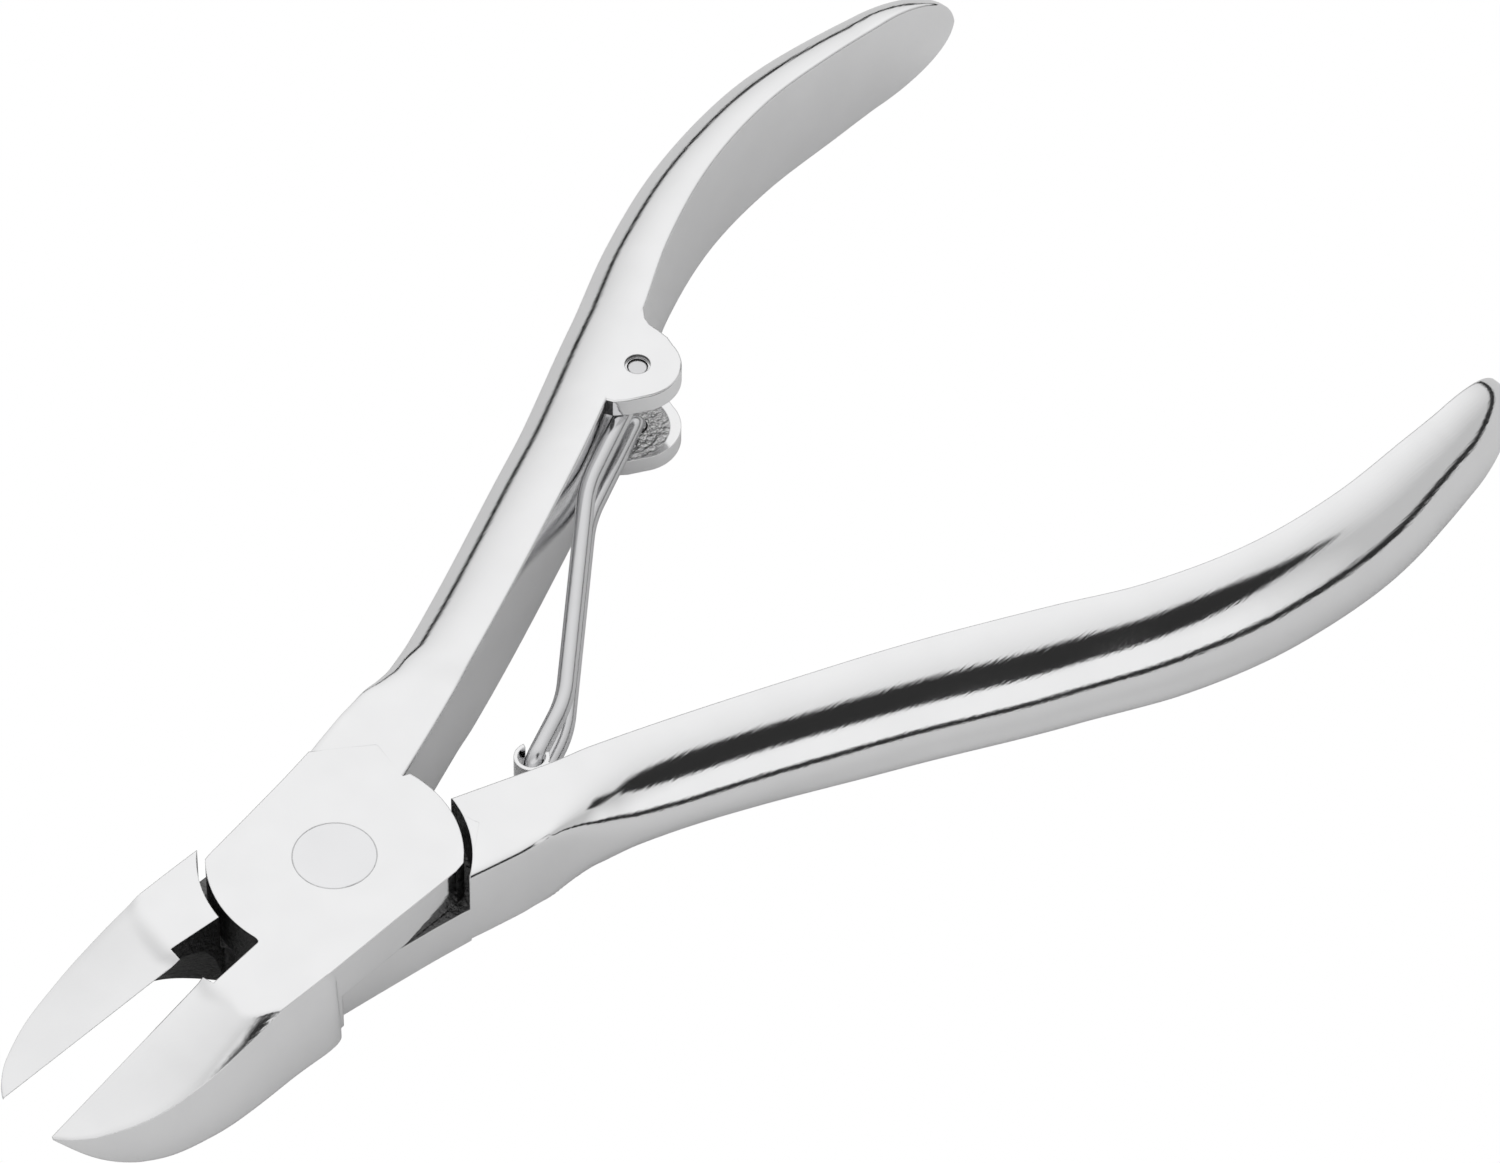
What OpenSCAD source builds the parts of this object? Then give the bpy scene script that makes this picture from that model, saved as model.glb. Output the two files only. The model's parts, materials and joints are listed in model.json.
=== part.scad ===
// Toenail nipper: two crossed levers on a lap joint, a flush rivet, and a bent wire return spring.
// Each lever is drawn in the closed position, then turned about the rivet into the open rest position.
// The rivet's axis is Z. The jaws point along -X and the handles along +X.

/* [Joint] */
// Thickness of the flat lap joint
joint_t = 7.26; // [6:0.02:8]
// Radius of the pivot rivet
rivet_r = 3; // [2.5:0.1:3.5]
// Running clearance between the rivet and lever B's bore
rivet_clearance = 0.03; // [0.01:0.01:0.1]
// Radius of each lever's half-thickness plate
plate_r = 9.1; // [8.6:0.1:9.4]
// Radius of the shoulder that the other lever's plate turns inside
shoulder_r = 9.7; // [9.5:0.05:10]
// Gap between the two lapped faces
lap_gap = 0.06; // [0.02:0.01:0.1]
// Angle between the levers at rest, zero when the cutting edges meet
open_angle = 9.2; // [6:0.1:11]

/* [Jaws] */
// Distance from the rivet's axis to the tips
jaw_reach = 29.7; // [28:0.1:31]
// Start of the jaws, where the relief behind the cutting edges ends
jaw_heel = 13.97; // [13.5:0.05:14.5]
// Half width of the relief between the jaws and the plates
relief_w = 1.03; // [0.8:0.05:1.2]
// Width of the strip at the rim where each jaw's upper face rolls down
roll_w = 1.2; // [0.8:0.1:1.6]
// Slope of the jaws' facing walls below the cutting edges, in degrees from upright
undercut_angle = 32; // [25:1:36]
// Gap left between the two cutting edges when the levers are closed
edge_gap = 0.04; // [0.02:0.01:0.1]

/* [Handles] */
// Distance from the rivet's axis to the handles' ends
handle_reach = 95.6; // [94:0.2:98]
// Points around the outer half of a handle's section
section_steps = 14; // [8:2:20]
// Sections along a handle
handle_steps = 34; // [20:2:44]

/* [Spring] */
// Radius of the spring wire
wire_r = 0.7; // [0.6:0.02:0.72]
// Height of the spring's legs above and below the middle plane
leg_z = 1.8; // [1.7:0.05:1.9]
// Radius of the holes in lever A's ears
ear_hole_r = 0.78; // [0.76:0.01:0.8]
// Radius of the wider mouth of each hole
mouth_r = 0.96; // [0.9:0.02:1.1]
// Radius of the round end of an ear
ear_r = 3.3; // [3:0.05:3.4]
// Thickness of an ear
ear_t = 1.67; // [1.5:0.01:1.8]
// Inner radius of the catch on lever B
catch_r = 1; // [0.96:0.02:1.2]
// Wall of the catch
catch_wall = 0.3; // [0.25:0.05:0.5]

/* [Hidden] */
$fn = 64;
half_t = joint_t / 2;
half_angle = open_angle / 2;
steel = [0.80, 0.81, 0.82];
wire_steel = [0.70, 0.71, 0.73];
rivet_steel = [0.76, 0.77, 0.78];

// Curves along the lever: [distance from the rivet's axis, value] at each knot
inner_face = [[7.8, 0.81], [14.6, 2.71], [24.3, 5.6], [34.1, 8.82], [43.8, 12.26], [53.5, 16.29],
    [60.4, 19.44], [68.1, 21.71], [75.9, 22.43], [83.7, 21.81], [90.5, 20.9], [97, 19.6]];
half_width = [[10, 3.6], [14, 3.62], [19.5, 3.93], [38.9, 4.13], [56.5, 4.3], [62.3, 4.54],
    [68.1, 4.8], [75.9, 5.03], [82.7, 4.91], [88, 4.55]];
depth = [[10, 6.3], [13.6, 6.3], [20, 6.2], [31.2, 6.1], [40.9, 6.35], [50.6, 6.55],
    [60.4, 6], [70.1, 5.55], [79.8, 5.2], [88, 4.2], [97, 3]];
squareness = [[10, 9], [13.6, 7], [17, 3.2], [21, 2], [97, 2]];
rim_y = [[11, 6], [13.2, 6.26], [16.5, 5.94], [20.4, 5.35], [24.3, 4.28], [27.5, 2.6],
    [28.9, 1.36], [29.7, 0.25]];
rim_z = [[11, 3.5], [13.05, 3.42], [15.1, 2.92], [18.9, 2], [22.5, 1.29], [26, 1.02], [29.7, 0.97]];
edge_z = [[11, 3.4], [14.1, 3.24], [21.9, 2.13], [29.7, 1.03]];
roll_drop = [[11, 0.4], [13.8, 0.5], [15.2, 0.42], [17, 0.3], [19, 0.15], [21, 0.05], [29.7, 0.02]];
bulge = [[11, 0], [12, 0.2], [14, 0.7], [19, 0.7], [23, 0.5], [27, 0.2], [29.7, 0]];
belly_z = [[11, 3.45], [14, 3.6], [20.5, 3.58], [23.1, 3.4], [25.3, 2.85], [26.5, 2.3], [27.4, 1.7], [28.4, 0.8],
    [29.7, -0.75]];
// Length of the round end of a handle
end_round = 7.5;
// Stations of the jaw, closer together at the tip
jaw_steps = 16;
jaw_start = 11.4;
// Where the undercut begins
undercut_start = 8.7;
// Outer edge of the joint, from the jaws to the handles
jaw_side = [[-12.6, 6.36], [-8.2, 6.7], [-2, 7.06]];
handle_side = [[2.9, 7.4], [7.4, 7.84], [11.6, 8.47]];
corner = [13.05, 8.7];
crease = [[13.4, 8.3], [15.4, 6], [18, 3.7]];
// Ears on lever A
ear_hole = [49.3, 13.27];
ear_round = [49.3, 13.3];
mouth_depth = 0.3;
ear_gap = 0.08;
ear_top = leg_z + wire_r + ear_gap + ear_t;
ear_foot = 3.2;
// Spring wire in the rest position: ear, bend by lever A, bend over lever B, end in the catch
ear_rest = turn(ear_hole, half_angle);
wire_points = [ear_rest, [38.3, 12.8], [22.5, -0.5], [16.7, -2.95]];
bend_r = 1.3;
// Sides of the wire's round section
wire_sides = 12;
catch_at = turn(wire_points[3], half_angle);
catch_height = 2 * (leg_z + wire_r + 0.2);
catch_opening = [-20, 76];
catch_foot = 2.3;
catch_foot_w = 1.4;

function turn(p, a) = [p[0] * cos(a) - p[1] * sin(a), p[0] * sin(a) + p[1] * cos(a)];
function polar(r, a) = [r * cos(a), r * sin(a)];
function lerp(a, b, t) = a + (b - a) * t;

// Smooth curve through a table's knots: a cubic between knots with the slopes of its neighbours
function slope(t, i) = let (a = t[max(i - 1, 0)], b = t[min(i + 1, len(t) - 1)])
    (b[1] - a[1]) / (b[0] - a[0]);
function find(t, x, i = 0) = i >= len(t) - 2 || x < t[i + 1][0] ? i : find(t, x, i + 1);
function cubic(a, b, ma, mb, s) = a * (1 + 2 * s) * (1 - s) * (1 - s) + ma * s * (1 - s) * (1 - s)
    + b * s * s * (3 - 2 * s) - mb * s * s * (1 - s);
function at(t, x) = let (i = find(t, x), w = t[i + 1][0] - t[i][0], s = min((x - t[i][0]) / w, 1))
    cubic(t[i][1], t[i + 1][1], slope(t, i) * w, slope(t, i + 1) * w, s);

// Solid through rings of points, all of the same count, closed by a fan at each end
module loft(rings) {
    n = len(rings[0]);
    last = len(rings) - 1;
    points = [for (r = rings) each r];
    sides = [for (i = [0:last - 1], j = [0:n - 1]) let (k = (j + 1) % n)
        each [[i * n + j, i * n + k, (i + 1) * n + k], [i * n + j, (i + 1) * n + k, (i + 1) * n + j]]];
    first_cap = [for (j = [1:n - 2]) [0, j + 1, j]];
    last_cap = [for (j = [1:n - 2]) [last * n, last * n + j, last * n + j + 1]];
    polyhedron(points, concat(sides, first_cap, last_cap), convexity = 4);
}

// How far along its length the handle still has its full section, falling to zero round its end
function end_share(x) = x < handle_reach - end_round ? 1
    : sqrt(max(1 - pow((x - handle_reach + end_round) / end_round, 2), 0.01));

// Section of the handle at station x: flat inner face, outer side from square to half an ellipse
function handle_ring(x) = let (
        face = at(inner_face, x),
        lean = atan((at(inner_face, x + 0.2) - at(inner_face, x - 0.2)) / 0.4),
        w = at(half_width, min(x, 88)) * end_share(x),
        d = at(depth, x) * lerp(0.45, 1, end_share(x)),
        e = 2 / at(squareness, x))
    [for (i = [0:section_steps]) let (
            a = 180 * i / section_steps,
            out = d * pow(sin(a), e),
            z = w * sign(cos(a)) * pow(abs(cos(a)), e))
        [x - out * sin(lean), face + out * cos(lean), z]];

module handle() {
    rings = [for (i = [0:handle_steps])
        handle_ring(lerp(13, handle_reach, sin(lerp(12, 90, i / handle_steps)) * 1.2625 - 0.2625))];
    loft(rings);
}

// Section of the jaw at a distance from the rivet: cutting edge, upper face, rim, swelling side, undercut wall
function jaw_ring(x) = let (
        rim = at(rim_y, x),
        top = at(edge_z, x),
        low = -at(belly_z, x),
        wide = rim + max(at(bulge, x), 0),
        toe = min((top - low) * tan(undercut_angle), rim - 0.15),
        roll = min(roll_w, rim / 2),
        drop = at(roll_drop, x),
        level = at(rim_z, x) + drop,
        face = [for (y = [edge_gap / 2, rim / 3, rim - roll, rim - roll / 2, rim]) let (
                rolled = max(1 - (rim - y) / roll, 0))
            [-x, -y, lerp(top, level, y / rim) - drop * rolled * rolled]],
        wall = level - drop - low)
    concat(face, [[-x, -lerp(rim, wide, 0.7), level - drop - wall * 0.4], [-x, -wide, low + wall * 0.22],
        [-x, -wide + (wide - toe) * 0.1, low], [-x, -edge_gap / 2 - toe, low]]);

module jaw() {
    rings = [for (i = [0:jaw_steps]) let (s = i / jaw_steps)
        jaw_ring(lerp(jaw_start, jaw_reach, sin(90 * s)))];
    difference() {
        loft(rings);
        heel_cut();
    }
}

// Relief between the jaw and the plate
module heel_cut() {
    translate([-jaw_heel, -relief_w, -joint_t])
        cube([jaw_heel, joint_t, 2 * joint_t]);
}

// Section of the undercut at a distance from the rivet and a share of its full depth
function undercut_ring(x, share) = [[-x, 0, joint_t / 2 + 0.1],
    [-x, -share * (joint_t + 0.2) * tan(undercut_angle), -joint_t / 2 - 0.1], [-x, 0, -joint_t / 2 - 0.1]];

// The jaw's undercut, running out into the root behind the heel
module undercut_run_out() {
    loft([undercut_ring(undercut_start, 0.02), undercut_ring(jaw_start, 0.62), undercut_ring(jaw_heel + 0.2, 0.95)]);
}

// Outline of the side of the joint that carries the lever's jaw
module jaw_root_plan() {
    polygon(concat(
        [[0, 0], [-jaw_heel + 1.2, -relief_w], [-jaw_heel - 0.05, -relief_w], [-13.7, -3.5], [-13.1, -5.3]],
        [for (p = jaw_side) [p[0], -p[1]]],
        [[0, -7.2]]));
}

// Outline of the side of the joint that carries the lever's handle
module handle_root_plan() {
    polygon(concat(
        [[0, 0], [-2, 7.06]],
        handle_side,
        [corner + [-0.5, -0.06], corner + [0.1, -0.25]],
        crease,
        [[14.6, 2.71], [inner_face[0][0], inner_face[0][1]]]));
}

// Outline of the half-thickness plate round the rivet
module plate_plan() {
    intersection() {
        circle(r = plate_r, $fn = 128);
        polygon(concat(
            [[-10, -relief_w], [-10, 6.6]],
            [for (p = jaw_side) if (p[0] > -10) p],
            handle_side,
            [[11.6, 0.81], [11.6, -6.4], [7.4, -6.4], [6.2, -7.2], [4.6, -7.56], [2.9, -7.4], [-2, -7.06]],
            [[-8.2, -6.7], [-10, -relief_w]]));
    }
}

// One lever, drawn with its handle on the +Y side and its jaw on the -Y side. side is 1 where its plate
// is the upper half of the joint and -1 where it is the lower half
module lever(bore_r, side) {
    difference() {
        union() {
            difference() {
                translate([0, 0, -half_t])
                    linear_extrude(joint_t)
                        union() {
                            jaw_root_plan();
                            handle_root_plan();
                        }
                translate([0, 0, side * (lap_gap - joint_t) / 2])
                    cylinder(r = shoulder_r, h = joint_t, center = true, $fn = 128);
                heel_cut();
                undercut_run_out();
            }
            translate([0, 0, side > 0 ? lap_gap / 2 : -half_t])
                linear_extrude(half_t - lap_gap / 2)
                    plate_plan();
            jaw();
            handle();
        }
        cylinder(r = bore_r, h = 2 * joint_t, center = true);
    }
}

// The pair of ears that hold the ends of the spring wire
module ears() {
    difference() {
        for (side = [-1, 1])
            translate([0, 0, side > 0 ? ear_top - ear_t : -ear_top])
                linear_extrude(ear_t)
                    ear_plan();
        translate([ear_hole[0], ear_hole[1], 0])
            cylinder(r = ear_hole_r, h = 3 * ear_top, center = true);
        for (side = [-1, 1])
            translate([ear_hole[0], ear_hole[1], side * (ear_top - mouth_depth + joint_t / 2)])
                cylinder(r = mouth_r, h = joint_t, center = true);
    }
}

module ear_plan() {
    translate(ear_round)
        circle(r = ear_r);
    polygon([[45.1, 12.8], [45.3, 12.25], [46.1, 11.5], ear_round - [2.03, 2.6], ear_round + [3.2, -0.85],
        [52.95, 14.2], [53, 15.2], [54.2, 16.9], [52.5, 16.9 + ear_foot / 4], [45.5, 12.9 + ear_foot / 3]]);
}

module lever_a() {
    color(steel)
        translate([0, 0, half_t])
            rotate(half_angle) {
                lever(rivet_r, 1);
                ears();
            }
}

module lever_b() {
    color(steel)
        translate([0, 0, half_t])
            rotate(-half_angle)
                mirror([0, 1, 0])
                    lever(rivet_r + rivet_clearance, -1);
}

module pivot_rivet() {
    color(rivet_steel)
        cylinder(r = rivet_r, h = joint_t);
}

// A C-shaped sleeve on a short foot, standing on lever B's inner face
module spring_catch() {
    color(steel)
        translate([0, 0, half_t])
            rotate(-half_angle)
                translate([catch_at[0], catch_at[1], -catch_height / 2])
                    linear_extrude(catch_height)
                        difference() {
                            union() {
                                circle(r = catch_r + catch_wall);
                                translate([-catch_foot_w / 2, -catch_foot])
                                    square([catch_foot_w, catch_foot]);
                            }
                            circle(r = catch_r);
                            polygon([[0, 0], polar(4, catch_opening[1]), polar(4, catch_opening[0])]);
                        }
}

// The wire runs from the upper ear along the upper leg to the catch, down through it and back to the lower ear
function unit(v) = v / norm(v);
function raised(p, z) = [p[0], p[1], z];
function rounded(p, i) = i == 0 || i == len(p) - 1 ? [p[i]]
    : let (a = p[i] + unit(p[i - 1] - p[i]) * bend_r, b = p[i] + unit(p[i + 1] - p[i]) * bend_r)
        [for (s = [0, 0.25, 0.5, 0.75, 1]) lerp(lerp(a, p[i], s), lerp(p[i], b, s), s)];

// Ring of the wire about a point. The first axis is level and square to the leg's heading
function wire_ring(centre, way, heading) = let (
        level = unit([-heading[1], heading[0], 0]),
        up = cross(way, level))
    [for (j = [0:wire_sides - 1]) let (a = 360 * j / wire_sides)
        centre + wire_r * (cos(a) * level + sin(a) * up)];

module return_spring() {
    last = len(wire_points) - 1;
    corners = concat([raised(wire_points[0], ear_top - 0.4)],
        [for (p = wire_points) raised(p, leg_z)], [raised(wire_points[last], 0)]);
    route = [for (i = [0:len(corners) - 1]) each rounded(corners, i)];
    ends = len(route) - 1;
    upper = [for (i = [0:ends]) let (
            way = i == ends ? [0, 0, -1] : unit(route[i + 1] - route[max(i - 1, 0)]),
            level = norm([way[0], way[1]]),
            heading = level > 0.05 ? way : i < ends / 2 ? wire_points[1] - wire_points[0]
                : wire_points[last] - wire_points[last - 1])
        wire_ring(route[i], way, heading)];
    lower = [for (i = [ends - 1:-1:0]) [for (q = upper[i]) [q[0], q[1], -q[2]]]];
    color(wire_steel)
        translate([0, 0, half_t])
            loft(concat(upper, lower));
}

lever_a();
lever_b();
pivot_rivet();
return_spring();
spring_catch();
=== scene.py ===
"""Toenail nipper in polished stainless steel: two riveted levers and a bent wire spring, on a white table.

The levers are drawn closed, in millimetres from the middle of the rivet.
They are then turned into the open rest position.
"""

import json
import math

import bmesh
import bpy
import numpy as np
from mathutils import Matrix, Vector


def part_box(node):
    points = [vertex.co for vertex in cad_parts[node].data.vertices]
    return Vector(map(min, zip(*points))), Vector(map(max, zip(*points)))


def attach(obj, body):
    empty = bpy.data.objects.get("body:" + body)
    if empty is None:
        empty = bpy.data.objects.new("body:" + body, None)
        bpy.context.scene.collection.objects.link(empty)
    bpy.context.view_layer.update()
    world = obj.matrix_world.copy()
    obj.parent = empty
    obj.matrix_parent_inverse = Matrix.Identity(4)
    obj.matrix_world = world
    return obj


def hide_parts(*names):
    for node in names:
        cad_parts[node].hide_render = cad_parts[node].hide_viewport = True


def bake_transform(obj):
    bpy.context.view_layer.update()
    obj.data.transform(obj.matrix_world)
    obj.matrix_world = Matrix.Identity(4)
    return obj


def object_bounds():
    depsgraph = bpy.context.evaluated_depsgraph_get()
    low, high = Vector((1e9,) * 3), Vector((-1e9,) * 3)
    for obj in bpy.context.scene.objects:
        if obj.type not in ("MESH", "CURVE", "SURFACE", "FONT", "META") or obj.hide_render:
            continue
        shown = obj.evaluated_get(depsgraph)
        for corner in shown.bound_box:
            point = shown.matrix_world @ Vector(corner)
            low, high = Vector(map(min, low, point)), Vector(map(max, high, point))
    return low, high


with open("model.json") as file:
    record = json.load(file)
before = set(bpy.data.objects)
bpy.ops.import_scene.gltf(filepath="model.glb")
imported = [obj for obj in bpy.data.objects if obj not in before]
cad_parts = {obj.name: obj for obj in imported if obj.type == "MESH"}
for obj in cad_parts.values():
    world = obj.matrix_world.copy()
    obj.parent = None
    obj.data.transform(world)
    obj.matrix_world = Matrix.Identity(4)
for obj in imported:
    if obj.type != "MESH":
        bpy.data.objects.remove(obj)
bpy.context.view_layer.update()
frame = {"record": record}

MM = 0.001
RIVET_LOW, RIVET_HIGH = (Vector(corner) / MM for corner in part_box("pivot_rivet"))
HALF_T = (RIVET_HIGH.z - RIVET_LOW.z) / 2
RIVET_R = (RIVET_HIGH.x - RIVET_LOW.x) / 2
OPEN_DEG = frame["record"]["behaviour"]["joints"][0]["range_deg"][1]
HALF_ANGLE = math.radians(OPEN_DEG / 2)
# The side of a lever: its plate is the upper or the lower half of the joint
UPPER, LOWER = 1, -1
# Height beyond the whole tool, for cuts that go right through
BEYOND = 8

# Joint: round ends of the plate, and of the shoulder cut for the other lever's plate
BORE_CLEARANCE = 0.03
PLATE_R = 9.1
SHOULDER_R = 9.7
LAP_GAP = 0.06
# Jaw, as distances from the rivet's axis: where it starts, the heel of its edge and its tip
JAW_START = -0.5
JAW_HEEL = 13.97
JAW_REACH = 29.7
# Half width of the relief behind the cutting edges, and how far it runs past the middle
RELIEF_W = 1.03
RELIEF_PAST = 3
# Slope of the jaws' facing walls, where the undercut begins and how soon it is full
UNDERCUT = math.tan(math.radians(32))
UNDERCUT_START = 8.7
UNDERCUT_RUN = 6
EDGE_GAP = 0.04
# Round of the jaw's lower edge: at its root and what it gains, and where it grows
BELLY_ROUND = 0.3
BELLY_ROUND_GAIN = 0.5
BELLY_ROUND_FROM = 8
BELLY_ROUND_RUN = 5
# Handles
HANDLE_START = 6
HANDLE_REACH = 95.6
END_ROUND = 7.5
# The share of its depth and of its width that the section keeps at the very end
END_DEPTH = 0.35
END_WIDTH = 0.05
CORNER_R = 0.22
# Spring
WIRE_R = 0.7
LEG_Z = 1.8
WIRE_SUNK = 0.4
# Ears: the wire's hole with its wider mouth, and the outline's round end
EAR_HOLE = (49.3, 13.27)
EAR_HOLE_R = 0.78
MOUTH_R = 0.96
MOUTH_DEPTH = 0.3
EAR_ROUND = (49.3, 13.3)
EAR_R = 3.3
EAR_SOFT = 0.2
EAR_LOW = LEG_Z + WIRE_R + 0.08
EAR_TOP = EAR_LOW + 1.67
# The patch left rough between the ears: its centre, and how far it lies below the smooth rim
EAR_PATCH = (48.7, 13.9)
PATCH_DEPTH = 0.04
# Catch
CATCH_R = 1.0
CATCH_WALL = 0.3
CATCH_ENDS_DEG = (76, 340)
CATCH_FOOT = [(-0.7, -2.3), (0.7, -2.3), (0.6, -1.1), (-0.6, -1.1)]

# Curves along the lever: (distance from the rivet's axis, value) at each knot.
# Handle: the inner face's distance from the middle, half the section's width, and its depth
INNER_FACE = ((7.8, 0.81), (14.6, 2.71), (24.3, 5.6), (34.1, 8.82), (43.8, 12.26), (53.5, 16.29),
              (60.4, 19.44), (68.1, 21.71), (75.9, 22.43), (83.7, 21.81), (90.5, 20.9), (97, 19.6))
HALF_WIDTH = ((8, 3.63), (17, 3.63), (20, 3.93), (38.9, 4.13), (56.5, 4.3), (62.3, 4.54),
              (68.1, 4.8), (75.9, 5.03), (82.7, 4.91), (88, 4.55))
DEPTH = ((6, 7.4), (8, 7.12), (9.2, 6.99), (10.5, 6.82), (12, 6.62), (13.6, 6.3), (16.7, 5.88),
         (20, 5.95), (24, 6.03), (31.2, 6.1), (40.9, 6.35), (50.6, 6.55), (60.4, 6), (70.1, 5.55),
         (79.8, 5.2), (88, 4.2), (97, 3))
# Hand grinding took this much off lever A's back, and left this much more on lever B's lower half
GROUND_OFF = ((6, 0), (30, 0), (37, 0.13), (43, 0.4), (49, 0.6), (55, 0.66), (61, 0.6), (68, 0.4),
              (75, 0.2), (85, 0), (97, 0))
LEFT_ON = ((6, 0), (24, 0), (30, 0.18), (38, 0.58), (47, 0.72), (60, 0.7), (66, 0.45), (72, 0.15),
           (78, 0), (97, 0))
# Power of the section's curve: 2 is an ellipse, and a large one is nearly a box
SQUARENESS = ((8, 30), (14, 24), (15.5, 10), (17, 5), (19, 3), (22, 2.2), (30, 2), (97, 2))
# Jaw: the rim's distance from the middle, then the heights of the rim, the cutting edge and,
# counted downward, the underside
RIM_Y = ((-1, 7.2), (2, 7.04), (8.2, 6.65), (13.1, 6.24), (16.5, 5.94), (20.4, 5.35), (24.3, 4.28),
         (27.5, 2.6), (28.9, 1.36), (29.7, 0.25))
RIM_Z = ((-1, 3.7), (12, 3.66), (13.05, 3.42), (15.1, 2.92), (18.9, 2), (22.5, 1.29), (26, 1.02),
         (29.7, 0.97))
EDGE_Z = ((-1, 3.7), (12, 3.5), (14.1, 3.24), (21.9, 2.13), (29.7, 1.03))
BELLY_Z = ((-1, 3.63), (17, 3.63), (20.5, 3.58), (23.1, 3.4), (25.3, 2.85), (26.5, 2.3), (27.4, 1.7),
           (28.4, 0.8), (29.7, -0.75))
# Roll of the jaw's upper face down to the rim: its drop and its width
ROLL_DROP = ((-1, 0.62), (13.8, 0.62), (15.2, 0.52), (17, 0.33), (19, 0.15), (21, 0.04), (29.7, 0.02))
ROLL_WIDTH = ((-1, 1.65), (13.8, 1.6), (16, 1.3), (18, 0.9), (21, 0.5), (29.7, 0.3))
# The shares of that drop and width which each lever's jaw was ground to, by the lever's side
ROLLED = {UPPER: (1.5, 1.4), LOWER: (0.5, 1)}
# How far the jaw's side swells out below the rim
BULGE = ((-1, 0), (7.4, 0), (7.9, 0.65), (9, 0.92), (11, 0.98), (15, 1.02), (19, 1.05), (23, 0.8),
         (27, 0.35), (29.7, 0))
# The crease where the flat top ends: (share of the jaw's width, distance from the rivet), and its width
CREASE = ((0, 13.5), (0.15, 14), (0.3, 13.95), (0.55, 13.7), (0.85, 13.1), (1, 12.5))
CREASE_W = 1.7


def at(table, x):
    """Value of a smooth curve through a table's knots."""
    i = 0
    while i < len(table) - 2 and x >= table[i + 1][0]:
        i += 1

    def slope(k):
        a, b = table[max(k - 1, 0)], table[min(k + 1, len(table) - 1)]
        return (b[1] - a[1]) / (b[0] - a[0])

    (x0, a), (x1, b) = table[i], table[i + 1]
    s = min((x - x0) / (x1 - x0), 1)
    m0, m1 = slope(i) * (x1 - x0), slope(i + 1) * (x1 - x0)
    return (a * (1 + 2 * s) * (1 - s) ** 2 + m0 * s * (1 - s) ** 2
            + b * s * s * (3 - 2 * s) - m1 * s * s * (1 - s))


def turn(point, angle):
    """The point, turned about the rivet by an angle in radians."""
    c, s = math.cos(angle), math.sin(angle)
    return point[0] * c - point[1] * s, point[0] * s + point[1] * c


def arc(centre, r, start, end, steps):
    """Points of an arc, angles in degrees."""
    angles = [math.radians(start + (end - start) * i / steps) for i in range(steps + 1)]
    return [(centre[0] + r * math.cos(a), centre[1] + r * math.sin(a)) for a in angles]


def new_object(name, points, faces):
    mesh = bpy.data.meshes.new(name)
    mesh.from_pydata([tuple(p) for p in points], [], faces)
    mesh.validate()
    obj = bpy.data.objects.new(name, mesh)
    bpy.context.scene.collection.objects.link(obj)
    return obj


def loft(name, rings):
    """Solid through rings of points, closed by one face at each end."""
    n = len(rings[0])
    points = [p for ring in rings for p in ring]
    faces = [(i * n + j, i * n + (j + 1) % n, (i + 1) * n + (j + 1) % n, (i + 1) * n + j)
             for i in range(len(rings) - 1) for j in range(n)]
    faces.append(tuple(range(n))[::-1])
    faces.append(tuple((len(rings) - 1) * n + j for j in range(n)))
    obj = new_object(name, points, faces)
    outward(obj)
    return obj


def prism(name, outline, low, high):
    """Upright solid with the given outline between two heights."""
    return loft(name, [[(x, y, z) for x, y in outline] for z in (low, high)])


def outward(obj):
    """Turn all faces to look outward."""
    bm = bmesh.new()
    bm.from_mesh(obj.data)
    bmesh.ops.recalc_face_normals(bm, faces=bm.faces)
    bm.to_mesh(obj.data)
    bm.free()


def combine(obj, other, operation):
    """obj after a boolean with other, which is used up."""
    modifier = obj.modifiers.new(operation, "BOOLEAN")
    modifier.operation = operation
    modifier.solver = "EXACT"
    modifier.object = other
    graph = bpy.context.evaluated_depsgraph_get()
    mesh = bpy.data.meshes.new_from_object(obj.evaluated_get(graph))
    obj.modifiers.clear()
    obj.data = mesh
    bpy.data.objects.remove(other)
    return obj


def finish_surface(obj, sharp_deg=24):
    """Smooth shading with true sharp edges, and flats that stay flat."""
    obj.data.polygons.foreach_set("use_smooth", [True] * len(obj.data.polygons))
    obj.data.set_sharp_from_angle(angle=math.radians(sharp_deg))
    weighted = obj.modifiers.new("flat_faces", "WEIGHTED_NORMAL")
    weighted.keep_sharp = True
    weighted.weight = 100


# ---------------------------------------------------------------- levers

def clamp(value):
    """The value, kept between 0 and 1."""
    return min(max(value, 0), 1)


def smooth_share(value):
    """Goes smoothly from 0 to 1 as the value does."""
    t = clamp(value)
    return t * t * (3 - 2 * t)


def end_share(x):
    """The share of its full width that a handle has at x, falling round its end."""
    s = max((x - HANDLE_REACH + END_ROUND) / END_ROUND, 0)
    return math.sqrt(max(1 - s * s, END_WIDTH ** 2))


def handle_back(w, d, left_on, power, start):
    """Points (out from the face, height) down the rounded back, where it is more than start out.

    w is half the back's width, d its depth and left_on what its lower half has more.
    """
    steps, points, blend = 48, 44, 0.5
    curve = []
    for i in range(1, steps):
        a = math.pi * i / steps
        deep = d + left_on * smooth_share((a - math.pi / 2) / blend)
        out = deep * math.sin(a) ** power
        if out > start:
            curve.append((out, w * math.copysign(abs(math.cos(a)) ** power, math.cos(a))))
    lengths = np.cumsum([0] + [math.dist(p, q) for p, q in zip(curve, curve[1:])])
    spots = np.linspace(0, lengths[-1], points)
    return list(zip(*(np.interp(spots, lengths, values) for values in zip(*curve))))


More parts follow.
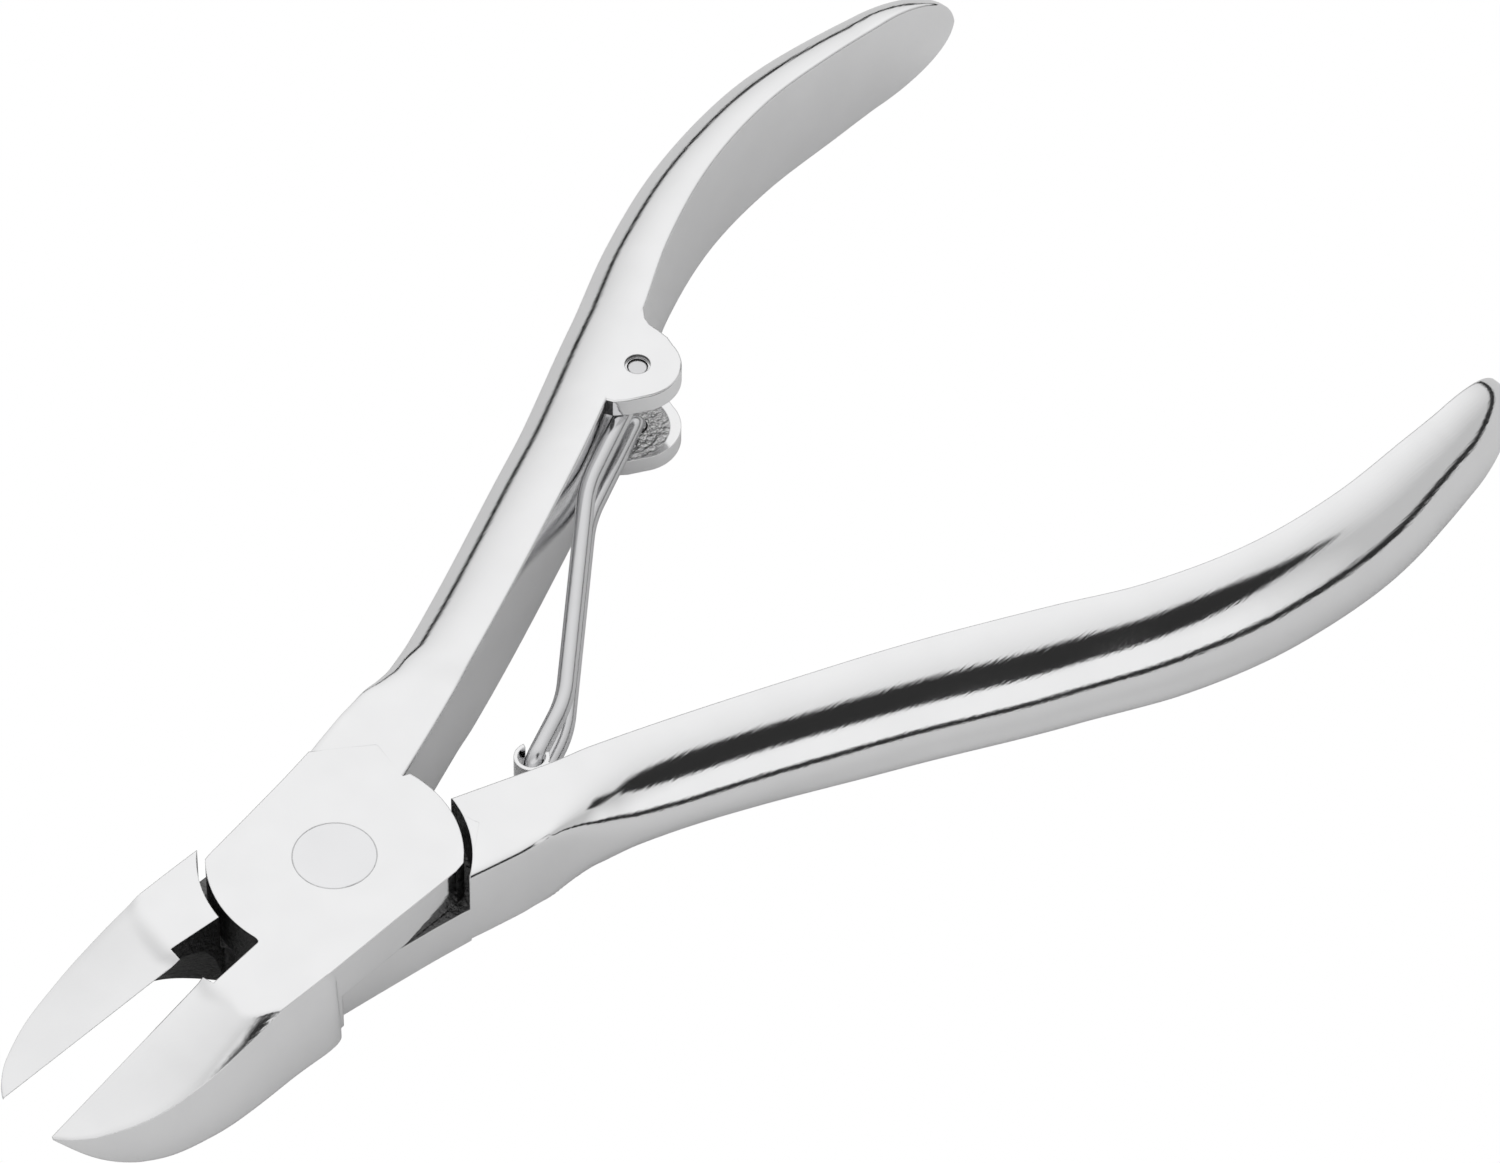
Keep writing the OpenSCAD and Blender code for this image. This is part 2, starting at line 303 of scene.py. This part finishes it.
def handle_ring(x, side):
    """Section of a handle: its flat inner face, a fine corner, the rounded back and the other corner."""
    face_steps, corner_steps, nearby = 8, 4, 0.2
    lean = math.atan((at(INNER_FACE, x + nearby) - at(INNER_FACE, x - nearby)) / (2 * nearby))
    share = end_share(x)
    w = at(HALF_WIDTH, min(x, HALF_WIDTH[-1][0])) * share
    ground_off = at(GROUND_OFF, x) if side == UPPER else 0
    left_on = at(LEFT_ON, x) if side == LOWER else 0
    d = (at(DEPTH, x) - ground_off) * (END_DEPTH + (1 - END_DEPTH) * share)
    r = min(CORNER_R, w * 0.4)
    corner = []
    for i in range(1, corner_steps + 1):
        a = math.radians(90 * i / corner_steps)
        corner.append((r - r * math.cos(a), w - r + r * math.sin(a)))
    section = [(0.0, (w - r) * (2 * i / face_steps - 1)) for i in range(face_steps + 1)]
    section += corner + handle_back(w, d, left_on, 2 / at(SQUARENESS, x), 1.3 * r)
    section += [(out, -z) for out, z in corner[::-1]]
    face = at(INNER_FACE, x)
    return [(x - out * math.sin(lean), face + out * math.cos(lean), z) for out, z in section]


def handle(side):
    """Handle through many sections, closest together where it leaves the joint and round its end."""
    slim, end = 22, HANDLE_REACH - END_ROUND
    straight = (*np.linspace(HANDLE_START, slim, 54)[:-1], *np.linspace(slim, end, 100))
    rounded = end + END_ROUND * np.sin(np.radians(np.linspace(3, 90, 26)))
    return loft("handle", [handle_ring(x, side) for x in (*straight, *rounded)])


def jaw_top(x, s, rolled):
    """Height of the upper face at a share s of the way from the cutting edge to the rim."""
    drop_share, width_share = rolled
    rim, drop = at(RIM_Y, x), at(ROLL_DROP, x) * drop_share
    roll = max(1 - rim * (1 - s) / (at(ROLL_WIDTH, x) * width_share), 0)
    ground = at(EDGE_Z, x) * (1 - s) + (at(RIM_Z, x) + drop) * s - drop * roll * roll
    past_crease = smooth_share((x - at(CREASE, s)) / CREASE_W + 0.25)
    return HALF_T + (min(ground, HALF_T) - HALF_T) * past_crease


def jaw_ring(x, rolled):
    """Section of a jaw: upper face out to the rim, swelling side, rounded lower edge and undercut wall."""
    face_steps, side_steps, belly_steps, wall_steps = 28, 9, 6, 5
    edge = EDGE_GAP / 2
    rim, low = at(RIM_Y, x), -at(BELLY_Z, x)
    wide = rim + max(at(BULGE, x), 0)
    top = jaw_top(x, 0, rolled)
    wall = jaw_top(x, 1, rolled) - low
    toe = min((top - low) * UNDERCUT, rim - 0.15)
    toe *= math.sin(math.pi / 2 * clamp((x - UNDERCUT_START) / UNDERCUT_RUN))
    belly = BELLY_ROUND + BELLY_ROUND_GAIN * smooth_share((x - BELLY_ROUND_FROM) / BELLY_ROUND_RUN)
    belly = min(belly, wall * 0.35, (rim - toe) * 0.5)
    section = []
    for i in range(face_steps + 1):
        s = (i / face_steps) ** 0.75
        section.append((edge + (rim - edge) * s, jaw_top(x, s, rolled)))
    for i in range(1, side_steps):
        swell = math.sin(math.radians(90 * i / side_steps))
        section.append((rim + (wide - rim) * swell, low + belly + (wall - belly) * (1 - i / side_steps)))
    for i in range(belly_steps + 1):
        a = math.radians(90 * i / belly_steps)
        section.append((wide - belly + belly * math.cos(a), low + belly - belly * math.sin(a)))
    for i in range(wall_steps):
        s = i / wall_steps
        section.append((edge + toe * (1 - s), low * (1 - s) + top * s))
    return [(-x, -y, z) for y, z in section]


def jaw(rolled):
    """Jaw through many sections, closest together where its side swells out and toward its tip."""
    blade_start = 11.9
    root = (*np.linspace(JAW_START, 7.2, 7), *np.linspace(7.3, 9.2, 16), *np.linspace(9.7, 11.5, 4))
    blade = blade_start + (JAW_REACH - blade_start) * np.sin(np.radians(np.linspace(0, 90, 90)))
    return loft("jaw", [jaw_ring(x, rolled) for x in (*root, *blade)])


def handle_root_outline():
    """Outline of the block that joins the handle to the joint."""
    return [(0, 0), (-2, 7.06), (2.9, 7.38), (6, 7.67), (9.6, 4.4), (8.6, 1.05), (7.8, 0.81)]


def plate_outline():
    """Half-thickness plate: two arcs about the rivet and the joint's straight outer edges."""
    right = arc((0, 0), PLATE_R, -49, 5.2, 30)
    back = arc((0, 0), PLATE_R, 132, 183.4, 30) + [(-9.12, -0.78), (-9.2, -0.96), (-9.4, -1.1)]
    return right + [(7.8, 1.5), (6, 7.67), (2.9, 7.38), (-2, 7.06), (-5.6, 6.85)] + back + [
        (-8.6, -6.6), (-8.2, -6.7), (-2, -7.06), (2.9, -7.4), (4.4, -7.5), (5.3, -7.4)]


def relief_outline():
    """Outline of the narrow gap behind the cutting edges."""
    return [(-JAW_HEEL, -RELIEF_W), (0, -RELIEF_W), (0, RELIEF_PAST), (-JAW_HEEL, RELIEF_PAST)]


def circle(r, steps=96, centre=(0, 0)):
    """Outline of a closed circle."""
    return arc(centre, r, 0, 360 - 360 / steps, steps - 1)


def lever(name, bore_r, side):
    """One closed lever, with its handle on +Y and its jaw on -Y."""
    body = jaw(ROLLED[side])
    body.name = name
    shoulder = sorted((side * LAP_GAP / 2, -side * BEYOND))
    plate = sorted((side * LAP_GAP / 2, side * HALF_T))
    combine(body, prism("root", handle_root_outline(), -HALF_T, HALF_T), "UNION")
    combine(body, handle(side), "UNION")
    combine(body, prism("shoulder", circle(SHOULDER_R, 144), *shoulder), "DIFFERENCE")
    combine(body, prism("relief", relief_outline(), -BEYOND, BEYOND), "DIFFERENCE")
    combine(body, prism("plate", plate_outline(), *plate), "UNION")
    combine(body, prism("bore", circle(bore_r), -BEYOND, BEYOND), "DIFFERENCE")
    return body


def ear_outline():
    """The foot's nearer curve, the round end, and the way back into the handle."""
    foot = [(45.5, 13.3), (45.1, 12.85), (45.3, 12.3), (46.1, 11.5)]
    back = [(52.85, 13.3), (52.95, 14.2), (53, 15.2), (53.3, 15.9), (54, 16.6), (52.8, 16.4)]
    return foot + arc(EAR_ROUND, EAR_R, 232, 345, 28) + back


def ear(outside):
    """Upper ear (outside 1) or lower ear (-1), whose outer face runs on from the handle's side."""
    outline = ear_outline()
    rings = []
    middle_x, middle_y = EAR_ROUND
    for angle in (0, 30, 60, 90):
        share = 1 - EAR_SOFT * (1 - math.sin(math.radians(angle))) / EAR_R
        sunk = EAR_SOFT * (1 - math.cos(math.radians(angle)))
        rings.append([(middle_x + (x - middle_x) * share, middle_y + (y - middle_y) * share,
                       outside * (at(HALF_WIDTH, x) - sunk)) for x, y in outline])
    rings.append([(x, y, outside * EAR_LOW) for x, y in outline])
    plate = loft("ear", rings)
    below, above, mouth = EAR_LOW - 1, EAR_TOP + 1, EAR_TOP - MOUTH_DEPTH
    cuts = (("patch", circle(EAR_R, 72, EAR_PATCH), below, EAR_LOW + PATCH_DEPTH),
            ("hole", circle(EAR_HOLE_R, 36, EAR_HOLE), below, above),
            ("mouth", circle(MOUTH_R, 36, EAR_HOLE), mouth, above))
    for name, outline, start, end in cuts:
        combine(plate, prism(name, outline, *sorted((outside * start, outside * end))), "DIFFERENCE")
    return plate


def place(obj, matrix=Matrix.Identity(4)):
    """Turn a piece into its place, from millimetres about the rivet's middle to the frame."""
    obj.data.transform(Matrix.Scale(MM, 4) @ Matrix.Translation((0, 0, HALF_T)) @ matrix)


def make_lever_a():
    obj = lever("lever_a_steel", RIVET_R, UPPER)
    combine(obj, ear(1), "UNION")
    combine(obj, ear(-1), "UNION")
    place(obj, Matrix.Rotation(HALF_ANGLE, 4, "Z"))
    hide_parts("lever_a")
    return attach(obj, "lever_a")


def make_lever_b():
    obj = lever("lever_b_steel", RIVET_R + BORE_CLEARANCE, LOWER)
    place(obj, Matrix.Rotation(-HALF_ANGLE, 4, "Z") @ Matrix.Scale(-1, 4, (0, 1, 0)))
    obj.data.flip_normals()
    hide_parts("lever_b")
    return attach(obj, "lever_b")


# ---------------------------------------------------------------- small pieces

def make_rivet():
    """Rivet with a fine chamfer at each end, which shows as a thin circle in the flat joint."""
    chamfer, inner_r = 0.04, RIVET_R - 1.2
    rings = []
    for r, z in ((inner_r, -HALF_T), (RIVET_R - chamfer, -HALF_T), (RIVET_R, chamfer - HALF_T),
                 (RIVET_R, HALF_T - chamfer), (RIVET_R - chamfer, HALF_T), (inner_r, HALF_T)):
        rings.append([(x, y, z) for x, y in circle(r)])
    obj = loft("rivet", rings)
    place(obj)
    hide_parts("pivot_rivet")
    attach(obj, "lever_a")
    return obj


EAR_REST = turn(EAR_HOLE, HALF_ANGLE)
# Where the ear's foot meets the handle; the faces round it are painted near black as shadow
EAR_FOOT = turn((45.3, 12.5), HALF_ANGLE)
# The upper leg in the rest position: the ear's hole, two bends and the catch
WIRE_POINTS = (EAR_REST, (38.3, 12.8), (22.5, -0.5), (16.7, -2.95))
# How far each bend's round reaches along the wire, from the ear to the catch
BEND_REACH = (1.3, 1.8, 1.7, 1.3)


def rounded_route(corners):
    """Route through corners, each one rounded off by a quadratic curve."""
    steps = 8
    route = [corners[0]]
    for i, reach in enumerate(BEND_REACH, 1):
        before = (corners[i - 1] - corners[i]).normalized()
        after = (corners[i + 1] - corners[i]).normalized()
        a, b = corners[i] + before * reach, corners[i] + after * reach
        for k in range(steps + 1):
            s = k / steps
            route.append(a * (1 - s) ** 2 + corners[i] * 2 * s * (1 - s) + b * s * s)
    route.append(corners[-1])
    return route


def wire_ring(centre, way, upright_heading):
    """Round section across the way. Where the wire stands upright, it faces the given heading."""
    points = 28
    flat = Vector((way.x, way.y, 0))
    heading = flat if flat.length > 0.05 else upright_heading
    level = Vector((-heading.y, heading.x, 0)).normalized()
    up = way.cross(level)
    angles = (2 * math.pi * j / points for j in range(points))
    return [centre + WIRE_R * (math.cos(a) * level + math.sin(a) * up) for a in angles]


def make_spring():
    """One wire: its ends stand in the ears, and the closed end is the upright piece in the catch."""
    corners = [Vector((*WIRE_POINTS[0], EAR_TOP - WIRE_SUNK))]
    corners += [Vector((*p, LEG_Z)) for p in WIRE_POINTS]
    corners.append(Vector((*WIRE_POINTS[-1], 0)))
    route = rounded_route(corners)
    from_ear = corners[2] - corners[1]
    into_catch = corners[-2] - corners[-3]
    upper = []
    for i, centre in enumerate(route[:-1]):
        way = (route[i + 1] - route[max(i - 1, 0)]).normalized()
        upper.append(wire_ring(centre, way, from_ear if i < len(route) / 2 else into_catch))
    upper.append(wire_ring(route[-1], Vector((0, 0, -1)), into_catch))
    lower = [[Vector((q.x, q.y, -q.z)) for q in ring] for ring in upper[-2::-1]]
    obj = loft("spring_wire", upper + lower)
    place(obj)
    finish_surface(obj, 40)
    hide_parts("return_spring")
    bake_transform(obj)
    return obj


def make_catch():
    """C-shaped sleeve, brazed to lever B's inner face by a short foot."""
    height = LEG_Z + WIRE_R + 0.2
    first, last = CATCH_ENDS_DEG
    outer = arc((0, 0), CATCH_R + CATCH_WALL, first, last, 40)
    inner = arc((0, 0), CATCH_R, last, first, 40)
    obj = prism("catch_sleeve", outer + inner, -height, height)
    combine(obj, prism("foot", CATCH_FOOT, -height, height), "UNION")
    x, y = turn(WIRE_POINTS[-1], HALF_ANGLE)
    place(obj, Matrix.Rotation(-HALF_ANGLE, 4, "Z") @ Matrix.Translation((x, y, 0)))
    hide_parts("spring_catch")
    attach(obj, "lever_b")
    return obj


# ---------------------------------------------------------------- materials

# Noise scales, per metre: faint clouding of the colour, and the lumps of a rough surface
CLOUD_SCALE = 260.0
LUMP_SCALE = 2600.0
CLOUD_SHADE = 0.93
# Radius of the softened edges and depth of the grinding lines, in mm
EDGE_SOFT = 0.12
LINE_DEPTH = 0.05


def node(tree, kind, **values):
    """New shader node. Each value names one of its inputs or one of its settings."""
    made = tree.nodes.new(kind)
    for name, value in values.items():
        if name in made.inputs:
            made.inputs[name].default_value = value
        else:
            setattr(made, name, value)
    return made


def steel(name, tint, rough, streak_scale, grain=0.02, pits=0.0):
    """Steel with fine grinding lines, faint clouding, softened edges and lumps that are pits mm deep."""
    material = bpy.data.materials.new(name)
    material.use_nodes = True
    tree = material.node_tree
    link = tree.links.new
    shader = tree.nodes["Principled BSDF"]
    shader.inputs["Metallic"].default_value = 1.0
    position = node(tree, "ShaderNodeTexCoord").outputs["Object"]
    stretch = node(tree, "ShaderNodeMapping", Scale=streak_scale)
    link(position, stretch.inputs["Vector"])
    lines = node(tree, "ShaderNodeTexNoise", Scale=1.0, Detail=4.0)
    link(stretch.outputs["Vector"], lines.inputs["Vector"])
    clouds = node(tree, "ShaderNodeTexNoise", Scale=CLOUD_SCALE, Detail=3.0)
    link(position, clouds.inputs["Vector"])
    colour = node(tree, "ShaderNodeValToRGB")
    colour.color_ramp.elements[0].color = (*[c * CLOUD_SHADE for c in tint], 1)
    colour.color_ramp.elements[1].color = (*tint, 1)
    link(clouds.outputs["Fac"], colour.inputs["Fac"])
    link(colour.outputs["Color"], shader.inputs["Base Color"])
    roughness = node(tree, "ShaderNodeMapRange")
    roughness.inputs["To Min"].default_value = rough * 0.7
    roughness.inputs["To Max"].default_value = rough * 1.4
    link(lines.outputs["Fac"], roughness.inputs["Value"])
    link(roughness.outputs["Result"], shader.inputs["Roughness"])
    edges = node(tree, "ShaderNodeBevel", samples=4)
    edges.inputs["Radius"].default_value = EDGE_SOFT * MM
    bump = node(tree, "ShaderNodeBump", Strength=grain, Distance=LINE_DEPTH * MM)
    link(lines.outputs["Fac"], bump.inputs["Height"])
    link(edges.outputs["Normal"], bump.inputs["Normal"])
    link(bump.outputs["Normal"], shader.inputs["Normal"])
    if pits:
        lumps = node(tree, "ShaderNodeTexNoise", Scale=LUMP_SCALE, Detail=3.0)
        link(position, lumps.inputs["Vector"])
        rough_bump = node(tree, "ShaderNodeBump", Strength=1.0, Distance=pits * MM)
        link(lumps.outputs["Fac"], rough_bump.inputs["Height"])
        link(bump.outputs["Normal"], rough_bump.inputs["Normal"])
        link(rough_bump.outputs["Normal"], shader.inputs["Normal"])
    return material


def ground_or_painted_shade(c, n):
    """Whether the face with centre c and normal n was left as ground, or lies in a gap, recess or hole
    whose near-black colour is painted shade.
    """
    near, aligned, level, steep = 0.25, 0.8, 0.9, 0.5
    jaw_from, relief_to, relief_half = -6, -19, 3.2
    reach = math.hypot(c.x, c.y)
    away_from_rivet = n.x * c.x + n.y * c.y
    height = abs(c.z - HALF_T)
    # These faces get the near-black ground steel: partly the rough ground finish, partly painted shade in
    # the gaps, the relief, the undercut and the hole
    shoulder = abs(reach - SHOULDER_R) < near and away_from_rivet < -aligned * reach
    plate_edge = abs(reach - PLATE_R) < near and away_from_rivet > aligned * reach
    lap = height < LAP_GAP and abs(n.z) > level
    relief = relief_to < c.x < jaw_from and abs(c.y) < relief_half and -0.85 < n.z < 0.3
    undercut = c.x < jaw_from and n.y * c.y < -0.15 * abs(c.y) and -0.95 < n.z < 0.3
    in_hole = math.dist((c.x, c.y), EAR_REST) < MOUTH_R and abs(n.z) < steep
    # Painted shadow where the ear's foot meets the handle
    ear_foot = math.dist((c.x, c.y), EAR_FOOT) < 0.5 and abs(n.z) < steep and height > EAR_LOW
    return shoulder or plate_edge or lap or relief or undercut or in_hole or ear_foot


def in_patch(c, n):
    """Whether the face lies in the rough patch between the ears."""
    depth_off = abs(abs(c.z - HALF_T) - EAR_LOW - PATCH_DEPTH)
    return c.x > 43 and depth_off < 0.02 and abs(n.z) > 0.9


def paint_lever(obj, polished, ground, forged):
    """Polished outside, and as ground or forged where the polishing wheel did not reach. The near-black
    ground steel also stands for painted shade in gaps, recesses and holes.
    """
    obj.data.materials.clear()
    for material in (polished, ground, forged):
        obj.data.materials.append(material)
    for face in obj.data.polygons:
        centre = face.center / MM
        # Material 1 is the near-black ground steel, which is also painted shade
        if ground_or_painted_shade(centre, face.normal):
            face.material_index = 1
        elif in_patch(centre, face.normal):
            face.material_index = 2


# ---------------------------------------------------------------- stage

# The camera looks down on the tool as it lies on its side, with a long lens
ELEVATION = math.radians(48.941)
ROLL = math.radians(1.0155)
HEADING = math.radians(46.924)
# In mm: from the lens to the rivet's top, across the view there, and from its middle to the rivet
DISTANCE = 601.8991
VIEW_W = 105.5075
AIM = (-29.2256, -19.2727)
SENSOR_W = 36

# Half size of the table, in metres, and the grey that the steel mirrors
TABLE_HALF = 3.0
TABLE_GREY = 0.82

# The dark card. Across and along it: half its size, how softly it ends and where its middle lies.
# Then the slope, the place and the softness of the two edges that narrow one end
CARD_HALF_ACROSS, CARD_SOFT_ACROSS, CARD_ACROSS = 0.255, 0.03, -0.16
CARD_HALF_ALONG, CARD_SOFT_ALONG, CARD_SHIFT = 0.25, 0.06, 0.075
CARD_TAPER, CARD_HALF, CARD_SOFT_TAPER = 0.9, 0.27, 0.03
DARK = (0.03, 0.03, 0.03, 1)
# The dark band at the horizon: its half height, how soft it ends and how it leans
HORIZON_HALF, HORIZON_SOFT, HORIZON_LEAN = 0.17, 0.03, 0.05


def make_camera():
    """Camera that looks down over the jaws. Returns the level directions to its right and away."""
    away = Vector((math.sin(HEADING), math.cos(HEADING), 0))
    side = Vector((math.cos(HEADING), -math.sin(HEADING), 0))
    look = math.cos(ELEVATION) * away - math.sin(ELEVATION) * Vector((0, 0, 1))
    lift = math.sin(ELEVATION) * away + math.cos(ELEVATION) * Vector((0, 0, 1))
    right = math.cos(ROLL) * side + math.sin(ROLL) * lift
    up = -math.sin(ROLL) * side + math.cos(ROLL) * lift
    top_of_rivet = Vector((0, 0, 2 * HALF_T))
    centre = top_of_rivet - (AIM[0] * right + AIM[1] * up + DISTANCE * look)
    data = bpy.data.cameras.new("camera")
    data.sensor_width = SENSOR_W
    data.lens = SENSOR_W * DISTANCE / VIEW_W
    data.clip_start = 0.01
    data.clip_end = 20
    camera = bpy.data.objects.new("camera", data)
    bpy.context.scene.collection.objects.link(camera)
    axes = Matrix((right, up, -look)).transposed().to_4x4()
    camera.matrix_world = Matrix.Translation(centre * MM) @ axes
    bpy.context.scene.camera = camera
    return side, away


def make_floor():
    """Table that looks pure white and is mirrored in the steel as light grey."""
    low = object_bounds()[0][2]
    corners = [(TABLE_HALF * x, TABLE_HALF * y, low) for x, y in ((-1, -1), (1, -1), (1, 1), (-1, 1))]
    floor = new_object("floor", corners, [(0, 1, 2, 3)])
    material = bpy.data.materials.new("white_table")
    material.use_nodes = True
    tree = material.node_tree
    tree.nodes.clear()
    out = node(tree, "ShaderNodeOutputMaterial")
    seen = node(tree, "ShaderNodeEmission", Color=(1, 1, 1, 1), Strength=1.0)
    table = node(tree, "ShaderNodeBsdfDiffuse", Color=(TABLE_GREY, TABLE_GREY, TABLE_GREY, 1))
    path = node(tree, "ShaderNodeLightPath")
    mix = node(tree, "ShaderNodeMixShader")
    tree.links.new(path.outputs["Is Camera Ray"], mix.inputs["Fac"])
    tree.links.new(table.outputs["BSDF"], mix.inputs[1])
    tree.links.new(seen.outputs["Emission"], mix.inputs[2])
    tree.links.new(mix.outputs["Shader"], out.inputs["Surface"])
    floor.data.materials.append(material)


def calculate(tree, operation, *values):
    """Output of a maths node. Each value is a number or the output of another node."""
    made = node(tree, "ShaderNodeMath", operation=operation)
    for socket, value in zip(made.inputs, values):
        if isinstance(value, bpy.types.NodeSocket):
            tree.links.new(value, socket)
        else:
            socket.default_value = value
    return made.outputs["Value"]


def along_direction(tree, direction):
    """How far the seen direction runs along the given one."""
    dot = node(tree, "ShaderNodeVectorMath", operation="DOT_PRODUCT")
    dot.inputs[1].default_value = direction
    tree.links.new(node(tree, "ShaderNodeTexCoord").outputs["Generated"], dot.inputs[0])
    return dot.outputs["Value"]


def ramp(tree, value, start, end, low, high, interpolation="LINEAR"):
    """Takes a value between start and end to one between low and high."""
    made = node(tree, "ShaderNodeMapRange", interpolation_type=interpolation)
    for name, number in (("From Min", start), ("From Max", end), ("To Min", low), ("To Max", high)):
        made.inputs[name].default_value = number
    tree.links.new(value, made.inputs["Value"])
    return made.outputs["Result"]


def band(tree, direction, half, soft, middle=0):
    """1 where the seen direction is within half of the middle along the given one, and 0 outside."""
    off = calculate(tree, "ABSOLUTE", calculate(tree, "SUBTRACT", along_direction(tree, direction), middle))
    return ramp(tree, off, half - soft, half + soft, 1, 0, "SMOOTHSTEP")


def dark_card(tree, side, away, up):
    """1 on a card high on the near right, narrowed toward one end, which darkens lever B's handle."""
    centre = (0.453 * side - 0.31 * away + 0.83 * up).normalized()
    across = 0.186 * side - 0.40 * away - 0.256 * up
    across = (across - across.dot(centre) * centre).normalized()
    along = centre.cross(across)
    sloping = along * CARD_TAPER
    card = calculate(tree, "GREATER_THAN", along_direction(tree, centre), 0)
    for edge in (band(tree, across, CARD_HALF_ACROSS, CARD_SOFT_ACROSS, CARD_ACROSS),
                 band(tree, along, CARD_HALF_ALONG, CARD_SOFT_ALONG, CARD_SHIFT),
                 band(tree, sloping + across, 1, CARD_SOFT_TAPER, CARD_HALF + CARD_ACROSS - 1),
                 band(tree, sloping - across, 1, CARD_SOFT_TAPER, CARD_HALF - CARD_ACROSS - 1)):
        card = calculate(tree, "MULTIPLY", card, edge)
    return card


def make_studio(side, away):
    """White tent all round, with a dark card high on the near right and a dark band at the horizon."""
    world = bpy.data.worlds.new("studio")
    bpy.context.scene.world = world
    world.use_nodes = True
    tree = world.node_tree
    link = tree.links.new
    tree.nodes.clear()
    out = node(tree, "ShaderNodeOutputWorld")
    light = node(tree, "ShaderNodeBackground", Strength=1.0)
    up = Vector((0, 0, 1))
    # The tent is brightest beyond the tool and fades away from there, with a second light in front
    beyond = ramp(tree, along_direction(tree, 0.656 * away + 0.755 * up), 0.45, 1, 0.6, 1.02)
    front = ramp(tree, along_direction(tree, 0.3 * up - 0.95 * away), 0.35, 0.7, 0.6, 1)
    brightness = calculate(tree, "MAXIMUM", beyond, front)
    tent = node(tree, "ShaderNodeCombineColor")
    for channel in ("Red", "Green", "Blue"):
        link(brightness, tent.inputs[channel])
    horizon = band(tree, up + HORIZON_LEAN * away, HORIZON_HALF, HORIZON_SOFT)
    dark = calculate(tree, "MAXIMUM", dark_card(tree, side, away, up), horizon)
    # A mix node for colours has its share at input 0, its colours at 6 and 7 and its result at output 2
    colour = node(tree, "ShaderNodeMix", data_type="RGBA")
    link(dark, colour.inputs[0])
    link(tent.outputs["Color"], colour.inputs[6])
    colour.inputs[7].default_value = DARK
    link(colour.outputs[2], light.inputs["Color"])
    link(light.outputs["Background"], out.inputs["Surface"])


def main():
    polished = steel("polished_steel", (0.86, 0.86, 0.865), rough=0.07,
                     streak_scale=(150, 7000, 7000), grain=0.12)
    # Near-black tint: painted shade for the gaps, recesses and holes, on top of the rough ground finish
    ground = steel("ground_steel_and_painted_shade", (0.15, 0.15, 0.15), rough=0.34,
                   streak_scale=(700, 700, 700), grain=0.2, pits=0.18)
    forged = steel("forged_steel", (0.8, 0.8, 0.8), rough=0.14,
                   streak_scale=(500, 500, 500), grain=0.1, pits=0.7)
    rivet_steel = steel("rivet_steel", (0.82, 0.82, 0.83), rough=0.09, streak_scale=(600, 600, 600))
    wire_steel = steel("wire_steel", (0.68, 0.68, 0.69), rough=0.16,
                       streak_scale=(120, 1500, 1500), grain=0.06)
    levers = make_lever_a(), make_lever_b()
    for obj in levers:
        finish_surface(obj)
        paint_lever(obj, polished, ground, forged)
    small = (make_rivet(), rivet_steel), (make_spring(), wire_steel), (make_catch(), polished)
    for obj, material in small:
        obj.data.materials.append(material)
        if obj.name != "spring_wire":
            finish_surface(obj)
    side, away = make_camera()
    make_floor()
    make_studio(side, away)
    bpy.context.scene.view_settings.view_transform = "Standard"


main()
